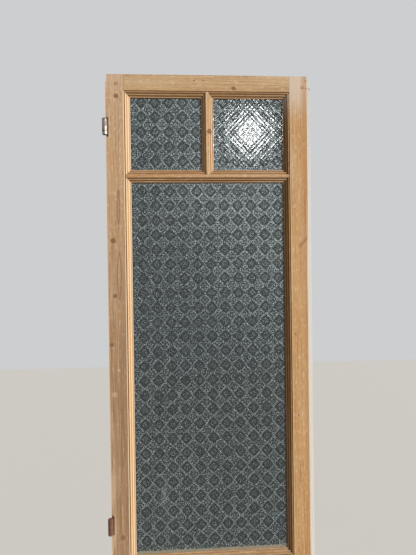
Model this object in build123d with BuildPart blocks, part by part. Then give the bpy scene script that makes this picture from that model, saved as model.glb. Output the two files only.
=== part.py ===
from build123d import *
import os

os.makedirs("parts", exist_ok=True)

# Glazed panel door: the hinge-hung leaf of a pair, seen from the front as looking along +Y.
# Drawn dimensions run right from the leaf's left edge, down from its top and back from its front face.

# Leaf
leaf_width = 505.0
leaf_height = 2250.0
leaf_thick = 36.0
lip_width = 11.5
lip_back = 12.0

# Stiles, rails and bars, to the line where the glass or panel starts
stile_width = 59.5
top_rail_width = 54.5
bar_width = 30.0
cross_bar_down = 251.0
lock_rail_down = 1203.5
lock_rail_width = 110.0
bottom_rail_width = 148.5

# Stuck moulding on the front edges: two treads with coved risers, a flat bead, then a quirk
tread = 3.4
riser = 2.0
step_rise = 3.4
bead_flat = 1.8
bead_drop = 0.8
quirk = 2.4
quirk_depth = 2.3
swell = 0.5

# Glass, rebates and beads
glass_back = 10.0
glass_thick = 4.0
rebate = 10.0
glass_gap = 1.0
bead_thick = 14.0
bead_bevel = 6.0

# Raised panel
groove_back = 12.0
groove_deep = 12.0
tongue_thick = 8.0
panel_gap = 1.0
bevel_inset = 3.0
bevel_width = 38.0
bevel_rise = 3.5
field_rise = 1.5

# Joints
tenon_back = 14.0
tenon_thick = 12.0
top_haunch = 12.0
rail_haunch = 20.0
foot_haunch = 35.0
bar_tenon = 18.0
upright_tenon = 15.0
peg_radius = 4.0
peg_proud = 0.3
top_peg_in = 26.0
top_peg_down = 23.5
far_peg_in = 11.0
far_peg_down = 28.0
peg_in = 24.0
peg_space = 22.0

# Lift-off hinges, the door's halves
top_hinge_down = 131.0
bottom_hinge_up = 137.0
axis_out = 1.5
axis_proud = 4.5
barrel_radius = 6.5
barrel_length = 40.0
pin_radius = 4.0
pin_length = 33.0
barrel_bevel = 1.0
leaf_plate = 2.5
plate_front = 0.5
plate_width = 30.0
plate_height = 80.0
plate_step = 9.0
gain_in = 6.5
gain_back = 4.0
gain_over = 3.0
gain_slope = 4.0

# The frame's origin is the hinge axis at the underside of the lowest barrel.
bottom_hinge_down = leaf_height - bottom_hinge_up
hinges = {
    "top": top_hinge_down,
    "middle": (top_hinge_down + bottom_hinge_down) / 2,
    "bottom": bottom_hinge_down,
}
top_z = bottom_hinge_down + barrel_length / 2
right_glass = leaf_width - stile_width
middle_x = leaf_width / 2
half_bar = bar_width / 2
bar_top = cross_bar_down - half_bar
bar_bottom = cross_bar_down + half_bar
web = half_bar - rebate
lock_bottom = lock_rail_down + lock_rail_width
bottom_rail_down = leaf_height - bottom_rail_width
moulding = 2 * (tread + riser) + bead_flat + quirk
shoulder = stile_width - moulding
back_shoulder = stile_width - rebate
outer_edge = leaf_width + lip_width
panes = {
    "top_left": (stile_width, middle_x - half_bar, top_rail_width, bar_top),
    "top_right": (middle_x + half_bar, right_glass, top_rail_width, bar_top),
    "main": (stile_width, right_glass, bar_bottom, lock_rail_down),
}
tenons = {
    "top": (top_haunch, top_rail_width - rebate),
    "lock": (lock_rail_down + rail_haunch, lock_bottom - rail_haunch),
    "bottom": (bottom_rail_down + rail_haunch, leaf_height - foot_haunch),
}


def board(points, near, far, mode=Mode.ADD):
    """A flat shape drawn as seen from the front, between two depths behind the face."""
    spots = [(x + axis_out, top_z - down) for x, down in points]
    with BuildSketch(Plane.XZ.offset(-(axis_proud + far))) as shape:
        Polygon(*spots, align=None)
    extrude(shape.sketch, amount=far - near, dir=(0, -1, 0), mode=mode)


def box(x0, x1, down0, down1, near, far, mode=Mode.ADD):
    """A block between two depths."""
    board([(x0, down0), (x1, down0), (x1, down1), (x0, down1)], near, far, mode)


def stick(x, down, inward, run, length, bar=False):
    """Cuts the moulding along a glass line that starts at x, down, with the wood lying inward."""
    base = Vector(x + axis_out, axis_proud, top_z - down)
    side = Vector(*inward)
    with BuildSketch(Plane(origin=base, x_dir=side, z_dir=side.cross(Vector(0, 1, 0)))) as waste:
        with BuildLine():
            low = bead_drop + 2 * step_rise
            Polyline((0, low), (-2, low), (-2, -2))
            for step in range(2):
                at = step * (tread + riser)
                deep = low - step * step_rise
                rise_at = at + tread
                top_at = rise_at + riser
                ThreePointArc((at, deep), (at + tread / 2, deep - swell), (rise_at, deep))
                hollow = (rise_at + 0.7 * riser, deep - 0.3 * step_rise)
                ThreePointArc((rise_at, deep), hollow, (top_at, deep - step_rise))
            if bar:
                Polyline((top_at, bead_drop), (top_at, -2), (-2, -2))
            else:
                quirk_at = top_at + bead_flat
                floor = ((quirk_at + 0.6, quirk_depth), (moulding - 1, quirk_depth))
                Polyline((top_at, bead_drop), (quirk_at, bead_drop), *floor, (moulding, 0), (moulding, -2), (-2, -2))
        make_face()
    extrude(waste.sketch, amount=length, dir=run, mode=Mode.SUBTRACT)


def save(piece, name):
    piece.part.label = name
    export_step(piece.part, f"parts/{name}.step")


def mortises(x0, x1):
    """The through mortises of the three rails."""
    for down0, down1 in tenons.values():
        box(x0, x1, down0, down1, tenon_back, tenon_back + tenon_thick, Mode.SUBTRACT)


def panel_pocket():
    """The grooves round the panel, as one pocket taken out of each member."""
    across = (stile_width - groove_deep, right_glass + groove_deep)
    up = (lock_bottom - groove_deep, bottom_rail_down + groove_deep)
    box(*across, *up, groove_back, groove_back + tongue_thick, Mode.SUBTRACT)


def peg_hole(x, down):
    """A peg's hole, right through."""
    with BuildSketch(Plane.XZ.offset(-(axis_proud + leaf_thick))) as hole:
        with Locations((x + axis_out, top_z - down)):
            Circle(peg_radius)
    extrude(hole.sketch, amount=leaf_thick + 1, dir=(0, -1, 0), mode=Mode.SUBTRACT)


def plate_recesses():
    """The shallow recesses of the hinge plates in the leaf's edge."""
    for down in hinges.values():
        up = down - barrel_length / 2
        plate = (up, up + plate_height, plate_front, plate_front + plate_width)
        box(-1, leaf_plate, *plate, Mode.SUBTRACT)


def stile_front(flip):
    """A stile's front outline, mitred at the rails and notched at the cross bar."""
    inner, flat = stile_width, shoulder
    points = [(0, 0), (flat, 0), (flat, top_rail_width - moulding), (inner, top_rail_width)]
    points += [(inner, bar_top), (inner - half_bar, cross_bar_down), (inner, bar_bottom)]
    points += [(inner, lock_rail_down), (flat, lock_rail_down + moulding)]
    points += [(flat, lock_bottom - moulding), (inner, lock_bottom)]
    points += [(inner, bottom_rail_down), (flat, bottom_rail_down + moulding)]
    points += [(flat, leaf_height), (0, leaf_height)]
    return [(leaf_width - x, down) if flip else (x, down) for x, down in points]


def rail_front(top, bottom):
    """A rail's front outline between two lines, each mitred where it carries moulding."""
    (y0, mitre0), (y1, mitre1) = top, bottom
    left = [(shoulder, y0 + mitre0), (stile_width if mitre0 else shoulder, y0)]
    right = [(leaf_width - x, down) for x, down in reversed(left)]
    low_left = [(stile_width if mitre1 else shoulder, y1), (shoulder, y1 - mitre1)]
    low_right = [(leaf_width - x, down) for x, down in reversed(low_left)]
    points = left + right + low_right + low_left
    return [p for i, p in enumerate(points) if p != points[i - 1]]


bar_tenon_box = (cross_bar_down - web, cross_bar_down + web, tenon_back, tenon_back + tenon_thick)
pegs = {
    "top_rail_left": (top_peg_in, top_peg_down),
    "top_rail_right": (leaf_width - far_peg_in, far_peg_down),
}
for rail in ("lock", "bottom"):
    centre = sum(tenons[rail]) / 2
    for place, down in (("upper", centre - peg_space), ("lower", centre + peg_space)):
        pegs[f"{rail}_rail_left_{place}"] = (peg_in, down)
        pegs[f"{rail}_rail_right_{place}"] = (leaf_width - peg_in, down)

# Hinge stile
with BuildPart() as left_stile:
    board(stile_front(False), 0, glass_back)
    back = [(0, 0), (back_shoulder, 0), (back_shoulder, lock_bottom), (stile_width, lock_bottom)]
    board(back + [(stile_width, leaf_height), (0, leaf_height)], glass_back, leaf_thick)
    stick(stile_width, 0, (-1, 0, 0), (0, 0, -1), leaf_height)
    mortises(-1, stile_width)
    panel_pocket()
    box(back_shoulder - bar_tenon, back_shoulder, *bar_tenon_box, Mode.SUBTRACT)
    for x, down in pegs.values():
        peg_hole(x, down)
    # a piece broken off the top corner
    box(-1, 3, -1, 20, -1, leaf_thick + 1, Mode.SUBTRACT)
    for down in hinges.values():
        up = down - barrel_length / 2 - gain_over
        low = down + barrel_length / 2 + gain_over
        gain = [(-1, up - gain_slope), (gain_in, up), (gain_in, low), (-1, low + gain_slope)]
        board(gain, -1, gain_back, Mode.SUBTRACT)
    plate_recesses()
save(left_stile, "left_stile")

# Meeting stile, with the lip of its rebated edge at the back
with BuildPart() as right_stile:
    board(stile_front(True), 0, glass_back)
    inner = leaf_width - back_shoulder
    back = [(inner, 0), (inner, lock_bottom), (right_glass, lock_bottom), (right_glass, leaf_height)]
    board([(leaf_width, 0)] + back + [(leaf_width, leaf_height)], glass_back, leaf_thick)
    chip = [(leaf_width - 1, 0), (leaf_width + 5, 0), (outer_edge - 1, 5), (outer_edge, 12)]
    board(chip + [(outer_edge, leaf_height), (leaf_width - 1, leaf_height)], lip_back, leaf_thick)
    stick(right_glass, 0, (1, 0, 0), (0, 0, -1), leaf_height)
    mortises(right_glass, outer_edge + 1)
    panel_pocket()
    box(inner, inner + bar_tenon, *bar_tenon_box, Mode.SUBTRACT)
    for x, down in pegs.values():
        peg_hole(x, down)
save(right_stile, "right_stile")

# Top rail
with BuildPart() as top_rail:
    board(rail_front((0, 0), (top_rail_width, moulding)), 0, glass_back)
    top_rebate = top_rail_width - rebate
    box(back_shoulder, leaf_width - back_shoulder, 0, top_rebate, glass_back, leaf_thick)
    box(0, outer_edge, *tenons["top"], tenon_back, tenon_back + tenon_thick)
    stick(0, top_rail_width, (0, 0, 1), (1, 0, 0), leaf_width)
    tip = (middle_x, top_rail_width - half_bar)
    mouth = [(middle_x - half_bar, top_rail_width), (middle_x + half_bar, top_rail_width)]
    board([tip] + mouth, -1, glass_back, Mode.SUBTRACT)
    slot = (middle_x - web, middle_x + web, top_rebate - upright_tenon, top_rebate)
    box(*slot, tenon_back, tenon_back + tenon_thick, Mode.SUBTRACT)
    for x, down in pegs.values():
        peg_hole(x, down)
save(top_rail, "top_rail")

# Cross bar, its pointed ends let into the stiles' moulding
with BuildPart() as cross_bar:
    ends = [(stile_width - half_bar, cross_bar_down), (stile_width, bar_top)]
    notch = [(middle_x - half_bar, bar_top), (middle_x, cross_bar_down), (middle_x + half_bar, bar_top)]
    far_end = [(right_glass, bar_top), (right_glass + half_bar, cross_bar_down), (right_glass, bar_bottom)]
    board(ends + notch + far_end + [(stile_width, bar_bottom)], bead_drop, glass_back)
    across = (back_shoulder, leaf_width - back_shoulder)
    box(*across, cross_bar_down - web, cross_bar_down + web, glass_back, leaf_thick)
    box(across[0] - bar_tenon, across[1] + bar_tenon, *bar_tenon_box)
    stick(0, bar_top, (0, 0, -1), (1, 0, 0), leaf_width, bar=True)
    stick(0, bar_bottom, (0, 0, 1), (1, 0, 0), leaf_width, bar=True)
    slot = (middle_x - web, middle_x + web, cross_bar_down - web, cross_bar_down)
    box(*slot, tenon_back, tenon_back + tenon_thick, Mode.SUBTRACT)
save(cross_bar, "cross_bar")

# Upright bar between the top panes
with BuildPart() as upright_bar:
    head = [(middle_x - half_bar, top_rail_width), (middle_x, top_rail_width - half_bar)]
    foot = [(middle_x + half_bar, bar_top), (middle_x, cross_bar_down), (middle_x - half_bar, bar_top)]
    board(head + [(middle_x + half_bar, top_rail_width)] + foot, bead_drop, glass_back)
    up = (top_rail_width - rebate, cross_bar_down - web)
    box(middle_x - web, middle_x + web, *up, glass_back, leaf_thick)
    tongue = (up[0] - upright_tenon, cross_bar_down, tenon_back, tenon_back + tenon_thick)
    box(middle_x - web, middle_x + web, *tongue)
    stick(middle_x - half_bar, 0, (1, 0, 0), (0, 0, -1), lock_rail_down, bar=True)
    stick(middle_x + half_bar, 0, (-1, 0, 0), (0, 0, -1), lock_rail_down, bar=True)
save(upright_bar, "upright_bar")

# Lock rail
with BuildPart() as lock_rail:
    board(rail_front((lock_rail_down, moulding), (lock_bottom, moulding)), 0, glass_back)
    across = (back_shoulder, leaf_width - back_shoulder)
    box(*across, lock_rail_down + rebate, lock_bottom, glass_back, leaf_thick)
    box(0, outer_edge, *tenons["lock"], tenon_back, tenon_back + tenon_thick)
    stick(0, lock_rail_down, (0, 0, -1), (1, 0, 0), leaf_width)
    stick(0, lock_bottom, (0, 0, 1), (1, 0, 0), leaf_width)
    panel_pocket()
    plate_recesses()
    for x, down in pegs.values():
        peg_hole(x, down)
save(lock_rail, "lock_rail")

# Bottom rail
with BuildPart() as bottom_rail:
    board(rail_front((bottom_rail_down, moulding), (leaf_height, 0)), 0, glass_back)
    box(stile_width, right_glass, bottom_rail_down, leaf_height, glass_back, leaf_thick)
    box(0, outer_edge, *tenons["bottom"], tenon_back, tenon_back + tenon_thick)
    stick(0, bottom_rail_down, (0, 0, -1), (1, 0, 0), leaf_width)
    panel_pocket()
    plate_recesses()
    for x, down in pegs.values():
        peg_hole(x, down)
save(bottom_rail, "bottom_rail")

# Raised panel: a tongue in the grooves, a wide bevel and a flat field
with BuildPart() as lower_panel:
    reach = groove_deep - panel_gap
    across = (stile_width - reach, right_glass + reach)
    up = (lock_bottom - reach, bottom_rail_down + reach)
    box(*across, *up, groove_back, groove_back + tongue_thick)
    panel_x = middle_x + axis_out
    panel_z = top_z - (lock_bottom + bottom_rail_down) / 2
    wide = right_glass - stile_width - 2 * bevel_inset
    tall = bottom_rail_down - lock_bottom - 2 * bevel_inset
    with BuildSketch(Plane.XZ.offset(-(axis_proud + groove_back))):
        with Locations((panel_x, panel_z)):
            Rectangle(wide, tall)
    with BuildSketch(Plane.XZ.offset(-(axis_proud + groove_back - bevel_rise))):
        with Locations((panel_x, panel_z)):
            Rectangle(wide - 2 * bevel_width, tall - 2 * bevel_width)
    loft()
    inset = bevel_inset + bevel_width
    field = (stile_width + inset, right_glass - inset, lock_bottom + inset, bottom_rail_down - inset)
    front = groove_back - bevel_rise
    box(*field, front - field_rise, front)
save(lower_panel, "lower_panel")

# Glass panes and the mitred beads that hold them from behind
for pane, (x0, x1, down0, down1) in panes.items():
    grow = rebate - glass_gap
    with BuildPart() as glass:
        edges_at = (x0 - grow, x1 + grow, down0 - grow, down1 + grow)
        box(*edges_at, glass_back, glass_back + glass_thick)
    save(glass, f"glass_{pane}")
    outer = [(x0 - rebate, down0 - rebate), (x1 + rebate, down0 - rebate)]
    outer += [(x1 + rebate, down1 + rebate), (x0 - rebate, down1 + rebate)]
    inner = [(x0, down0), (x1, down0), (x1, down1), (x0, down1)]
    for side, name in enumerate(("top", "right", "bottom", "left")):
        after = (side + 1) % 4
        with BuildPart() as bead:
            bead_back = glass_back + glass_thick
            board([outer[side], outer[after], inner[after], inner[side]], bead_back, bead_back + bead_thick)
            along, order = (Axis.X, Axis.Z) if side % 2 == 0 else (Axis.Z, Axis.X)
            back_edges = bead.edges().filter_by(along).group_by(Axis.Y)[-1].sort_by(order)
            arris = back_edges[0] if name in ("top", "right") else back_edges[-1]
            chamfer(arris, length=bead_bevel)
        save(bead, f"glazing_bead_{pane}_{name}")

# Joint pegs
for name, (x, down) in pegs.items():
    with BuildPart() as peg:
        with BuildSketch(Plane.XZ.offset(-(axis_proud + leaf_thick))):
            with Locations((x + axis_out, top_z - down)):
                Circle(peg_radius)
        extrude(amount=leaf_thick + peg_proud)
    save(peg, f"peg_{name}")

# Lift-off hinges: a barrel with a blind pin hole from below, on a plate let into the stile's edge
for name, down in hinges.items():
    with BuildPart() as hinge:
        foot_z = top_z - down - barrel_length / 2
        with BuildSketch(Plane.XY.offset(foot_z)):
            Circle(barrel_radius)
        extrude(amount=barrel_length)
        chamfer(hinge.edges().filter_by(GeomType.CIRCLE).sort_by(Axis.Z)[-1], length=barrel_bevel)
        up = down - barrel_length / 2
        box(0, leaf_plate, up, up + barrel_length, plate_front, plate_front + plate_width)
        box(0, leaf_plate, up + barrel_length, up + plate_height, plate_step, plate_front + plate_width)
        with BuildSketch(Plane.XY.offset(foot_z)):
            Circle(pin_radius)
        extrude(amount=pin_length, mode=Mode.SUBTRACT)
    save(hinge, f"hinge_{name}")
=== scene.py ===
# %% [markdown]
# # An old glazed panel door
#
# This is one leaf of a pair of stripped pine doors. It has two small panes over a tall one, all of
# figured glass, and a raised panel below. Its three lift-off hinges are still on the left edge.
# The solids come from the CAD frame, where each member, bead, pane and hinge is a node of its own,
# so nothing is placed by eye here. Blender adds what CAD leaves out: the wood's grain and wear, the
# pressed pattern of the glass, rust, and the small fasteners.

# %% Load the frame
import math

import bpy
from mathutils import Matrix, Vector


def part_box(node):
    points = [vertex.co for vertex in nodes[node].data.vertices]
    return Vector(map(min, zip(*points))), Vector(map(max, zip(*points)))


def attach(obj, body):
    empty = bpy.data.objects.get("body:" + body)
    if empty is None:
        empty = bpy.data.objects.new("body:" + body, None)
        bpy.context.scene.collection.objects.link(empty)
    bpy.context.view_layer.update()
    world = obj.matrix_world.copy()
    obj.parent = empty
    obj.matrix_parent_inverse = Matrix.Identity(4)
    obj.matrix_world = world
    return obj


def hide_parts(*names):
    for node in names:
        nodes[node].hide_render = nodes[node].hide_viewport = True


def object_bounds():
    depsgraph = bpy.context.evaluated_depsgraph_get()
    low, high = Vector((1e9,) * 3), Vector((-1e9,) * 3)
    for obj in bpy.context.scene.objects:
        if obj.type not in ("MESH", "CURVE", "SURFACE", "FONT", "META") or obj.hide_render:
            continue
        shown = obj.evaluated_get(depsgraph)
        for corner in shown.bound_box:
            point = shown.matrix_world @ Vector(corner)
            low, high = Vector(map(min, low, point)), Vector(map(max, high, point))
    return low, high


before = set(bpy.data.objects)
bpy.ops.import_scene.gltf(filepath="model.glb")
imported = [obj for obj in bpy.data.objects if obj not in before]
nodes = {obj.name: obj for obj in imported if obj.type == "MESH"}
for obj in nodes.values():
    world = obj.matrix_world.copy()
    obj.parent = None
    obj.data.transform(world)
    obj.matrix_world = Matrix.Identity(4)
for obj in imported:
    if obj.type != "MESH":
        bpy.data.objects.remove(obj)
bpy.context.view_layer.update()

# %% [markdown]
# The door is drawn as a joiner would measure it: right from the leaf's left edge, down from its top
# and back from its face, all in millimetres. The frame is in metres with its origin at the lowest
# hinge. These few numbers turn one into the other, and the main lines of the door follow from the
# boxes of the nodes, so a pattern stays on its member when the door changes.

# %% The drawing's place and main lines
MM = 0.001
stile_low, stile_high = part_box("left_stile")
face = stile_low.y
left_edge = stile_low.x
top_edge = stile_high.z


def on_drawing(point):
    """Right, down and back of a point of the frame, in mm."""
    return (point.x - left_edge) / MM, (top_edge - point.z) / MM, (point.y - face) / MM


def in_frame(right, down, back):
    """The frame's point for a place on the drawing."""
    return Vector((left_edge + right * MM, face + back * MM, top_edge - down * MM))


def top_and_bottom(name):
    """How far down a node begins and ends."""
    return [on_drawing(corner)[1] for corner in reversed(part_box(name))]


MOULDING = 15.0
stile = on_drawing(stile_high)[0]
shoulder = stile - MOULDING
leaf_right = on_drawing(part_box("right_stile")[0])[0] + stile
middle = leaf_right / 2
leaf_down = top_and_bottom("left_stile")[1]
top_rail = top_and_bottom("top_rail")[1]
cross_top, cross_bottom = top_and_bottom("cross_bar")
cross_middle = (cross_top + cross_bottom) / 2
lock_top, lock_bottom = top_and_bottom("lock_rail")
foot_top = top_and_bottom("bottom_rail")[0]
print("stile", round(stile, 1), "leaf", round(leaf_right, 1), "x", round(leaf_down, 1))

# %% [markdown]
# Shader formulas are easier to read as sums than as boxes and wires. This class wraps one socket of
# a node tree. Arithmetic on it adds Math nodes, and `node` adds any other kind. It works in shader
# trees and in Geometry Nodes alike, so the glass can use one formula for its shape and its colour.


# %% A wire that takes part in sums
class Wire:
    """One value in a node tree. A sum on it adds the Math nodes of that sum."""

    def __init__(self, tree, socket=None):
        self.tree, self.socket = tree, socket

    def node(self, kind, settings=None, values=None, out=0):
        """Adds a node: first its settings, then a number or a wire for each socket in values."""
        made = self.tree.nodes.new(kind)
        for name, value in (settings or {}).items():
            setattr(made, name, value)
        for name, value in (values or {}).items():
            if isinstance(value, Wire):
                self.tree.links.new(value.socket, made.inputs[name])
            else:
                made.inputs[name].default_value = value
        return Wire(self.tree, made.outputs[out])

    def out(self, name):
        """Another output of the same node."""
        return Wire(self.tree, self.socket.node.outputs[name])

    def maths(self, operation, *others):
        values = dict(enumerate((self, *others)))
        return self.node("ShaderNodeMath", {"operation": operation}, values)

    def swapped(self, operation, other):
        return self.node("ShaderNodeMath", {"operation": operation}, {0: other, 1: self})

    def __add__(self, other):
        return self.maths("ADD", other)

    def __sub__(self, other):
        return self.maths("SUBTRACT", other)

    def __mul__(self, other):
        return self.maths("MULTIPLY", other)

    def __truediv__(self, other):
        return self.maths("DIVIDE", other)

    def __pow__(self, other):
        return self.maths("POWER", other)

    __radd__, __rmul__ = __add__, __mul__

    def __rsub__(self, other):
        return self.swapped("SUBTRACT", other)

    def __rtruediv__(self, other):
        return self.swapped("DIVIDE", other)

    def __abs__(self):
        return self.maths("ABSOLUTE")

    def least(self, other):
        return self.maths("MINIMUM", other)

    def most(self, other):
        return self.maths("MAXIMUM", other)

    def rise(self, low, high):
        """0 below low, 1 above high and smooth between."""
        values = {0: self, 1: low, 2: high, 3: 0.0, 4: 1.0}
        return self.node("ShaderNodeMapRange", {"interpolation_type": "SMOOTHSTEP"}, values)

    def line(self, centre, half):
        """1 on a line at centre, fading to 0 at half a width away."""
        return 1 - abs(self - centre).rise(half * 0.4, half)

    def vector(self, second, third):
        return self.node("ShaderNodeCombineXYZ", values={0: self, 1: second, 2: third})

    def on_axis(self, axis):
        """A vector of this length along X, Y or Z."""
        return self.node("ShaderNodeCombineXYZ", values={axis: self})

    def noise(self, size, seed=0.0, detail=2.0, rough=0.5):
        """Noise on a vector in mm, with blotches of the sizes given along its three axes."""
        shrink = {0: self, 1: tuple(1 / s for s in size)}
        at = self.node("ShaderNodeVectorMath", {"operation": "MULTIPLY"}, shrink)
        values = {"Vector": at, "W": seed, "Scale": 1.0, "Detail": detail, "Roughness": rough}
        return at.node("ShaderNodeTexNoise", {"noise_dimensions": "4D"}, values)

    def between(self, first, second):
        """A colour that goes from the first to the second as this amount goes from 0 to 1."""
        values = {0: self, 6: first, 7: second}
        return self.node("ShaderNodeMix", {"data_type": "RGBA"}, values, out=2)

    def tinted(self, other, amount, mode="MIX"):
        """This colour mixed with another by an amount."""
        settings = {"data_type": "RGBA", "blend_type": mode}
        return self.node("ShaderNodeMix", settings, {0: amount, 6: self, 7: other}, out=2)

    def bump(self, strength, depth, **more):
        """A bump that follows this height, up to depth in mm."""
        values = {"Strength": strength, "Distance": depth * MM, "Height": self, **more}
        return self.node("ShaderNodeBump", values=values)


print("wires ready")

# %% [markdown]
# Every material starts and ends alike. Colours are written as on a paint chart, from 0 to 255, and
# Blender wants them linear, so one helper converts them. All patterns are drawn in the drawing's
# millimetres, read from Object coordinates, so each one keeps its real scale.


# %% What every material shares
def tone(red, green, blue):
    """A colour as a paint chart gives it, 0 to 255, as Blender's linear numbers."""
    linear = []
    for part in (red / 255, green / 255, blue / 255):
        linear.append(((part + 0.055) / 1.055) ** 2.4 if part > 0.04 else part / 12.92)
    return (*linear, 1.0)


def new_material(name):
    """An empty material, a wire to start from, and its output node."""
    made = bpy.data.materials.new(name)
    made.use_nodes = True
    made.node_tree.nodes.clear()
    start = Wire(made.node_tree)
    output = made.node_tree.nodes.new("ShaderNodeOutputMaterial")
    return made, start, output


def finish_material(start, output, values):
    """Adds the Principled shader with these sockets and plugs it into the output."""
    skin = start.node("ShaderNodeBsdfPrincipled", values=values)
    start.tree.links.new(skin.socket, output.inputs["Surface"])


def drawing_place(start):
    """Right, down and back of the shaded point on the drawing, in mm."""
    split = start.node("ShaderNodeTexCoord", out="Object")
    split = split.node("ShaderNodeSeparateXYZ", values={0: split})
    right = (split - left_edge) / MM
    back = (split.out("Y") - face) / MM
    down = (top_edge - split.out("Z")) / MM
    return right, down, back


def distance(first, second, at):
    """How far a place is from a point, by two of its measures."""
    return ((first - at[0]) ** 2 + (second - at[1]) ** 2) ** 0.5


def clothe(name, material):
    """Gives a CAD node its own finish."""
    nodes[name].data.materials.clear()
    nodes[name].data.materials.append(material)


print("material helpers ready")

# %% [markdown]
# A knot is a branch cut across. Its distance is counted in knot sizes, so one set of numbers draws
# any knot: a ringed body, a dark line where the bark was, a pale halo broken by wear, and a brown
# cast beyond it. Noise on the distance keeps it from being a perfect disc.

# %% Knots
KNOT_CAST, KNOT_HALO = tone(150, 104, 66), tone(218, 192, 160)
KNOT_BODY, KNOT_BARK = tone(112, 80, 58), tone(74, 50, 36)


def knot_distance(spot, across, along, knots, seed):
    """Distance to the nearest knot, in its own sizes, or None on a board without knots."""
    near = None
    for knot_across, knot_along, size in knots:
        tall = size * 1.1
        away = (((across - knot_across) / size) ** 2 + ((along - knot_along) / tall) ** 2) ** 0.5
        near = away if near is None else near.least(away)
    if near is None:
        return None
    return near + (spot.noise((5, 5, 7), seed + 17) - 0.5) * 1.2


def with_knots(colour, near, wander, worn):
    rings = (near * 9 + wander * 6).maths("SINE")
    body = (1 - near.rise(0.75, 1.15)) * (0.52 + rings * 0.18 + worn * 0.4).least(1.0)
    colour = colour.tinted(KNOT_CAST, (1 - near.rise(1.0, 2.4)) * 0.5)
    colour = colour.tinted(KNOT_HALO, near.line(1.8, 0.8) * worn.rise(0.42, 0.6) * 0.45)
    return colour.tinted(KNOT_BODY, body).tinted(KNOT_BARK, near.line(1.0, 0.3) * 0.55)


print("knots ready")

# %% [markdown]
# The moulding round each opening is two treads with coved risers, a flat bead and a quirk, the
# narrow sunk line beside the flat. The foot of the risers and the depth of the quirk are darkened,
# and a film lies over the moulding: partly old dirt, partly painted shade, set stronger on the
# mouldings that lie in shade. `inward` is how far in from the glass line a point lies.

# %% Dirt and painted shade in the moulding
RISERS, BEAD_END, QUIRK = (3.7, 9.1), (12.0, 12.6), (12.4, 12.9)
DIRT_AND_SHADE_FILM, DIRT_AND_SHADE = tone(128, 92, 56), tone(92, 60, 34)


def with_dirt_and_shade(colour, inward, back, grime_and_shade):
    front = 1 - back.rise(9.0, 10.0)
    feet = inward.line(RISERS[0], 1.3).most(inward.line(RISERS[1], 1.3))
    quirk = inward.rise(*QUIRK) * back.rise(0.5, 1.8)
    # Dirt and painted shade: the feet of the risers, the quirk and a film over the moulding are
    # darkened, as far as the member's setting allows.
    dirt_and_shade = (feet * grime_and_shade).most(quirk * 0.9) * front
    dirt_and_shade_film = inward.rise(-0.5, 0.5) * (1 - inward.rise(*BEAD_END)) * front * grime_and_shade * 0.5
    return colour.tinted(DIRT_AND_SHADE_FILM, dirt_and_shade_film).tinted(DIRT_AND_SHADE, dirt_and_shade)


print("risers at", RISERS, "mm in from the glass line")

# %% [markdown]
# Pine is a solid pattern, not a printed one. A board is cut from a trunk, so its growth rings are
# cylinders round a heart that lies beside the board. Where the face cuts them at a shallow angle
# they draw long flames, and on the ends they draw arcs. One formula in three dimensions gives both,
# and it makes the through tenons show end grain by themselves. A knot pushes the rings aside.
# On top come the marks of age: greyer and redder streaks, fine pores, dents, and dark seams where
# the members meet.

# %% Old pine
# Sizes of the noises in mm: across the grain, into the board and along the grain.
WANDER, SHIVER = (60, 60, 620), (9, 9, 150)
BROAD, STREAK, FIBRE = (24, 30, 300), (3.2, 9, 190), (0.6, 0.6, 22)
FLECKS, WEAR, DENTS = (1.3, 3, 15), (6, 9, 16), (4, 4, 7)
GREYED, DUSKY, SCUFFED = tone(206, 184, 156), tone(132, 98, 68), tone(222, 202, 174)
FLECK_BROWN, PORE_BROWN, DENT_BROWN = tone(120, 84, 54), tone(120, 84, 52), tone(112, 80, 54)
SEAM_DARK = tone(58, 38, 24)


def aged(colour, spot, seed, ruddy, fibre, streak, worn):
    """The marks of age that every member has, from the broadest to the finest."""
    broad = spot.noise(BROAD, seed + 7, detail=3.0)
    flecks = spot.noise(FLECKS, seed + 13, detail=3.0, rough=0.6)
    light = 0.68 + fibre * 0.64
    colour = colour.tinted(ruddy, streak.rise(0.48, 0.66) * 0.8)
    colour = colour.tinted(GREYED, broad.rise(0.48, 0.72) * 0.5)
    colour = colour.tinted(DUSKY, (1 - broad.rise(0.3, 0.44)) * 0.35)
    colour = colour.tinted(light.vector(light, light), 1.0, "MULTIPLY")
    colour = colour.tinted(FLECK_BROWN, flecks.rise(0.54, 0.68) * 0.6)
    colour = colour.tinted(SCUFFED, worn.rise(0.53, 0.68) * 0.5)
    return colour.tinted(PORE_BROWN, (1 - fibre.rise(0.28, 0.4)) * 0.35)


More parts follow.
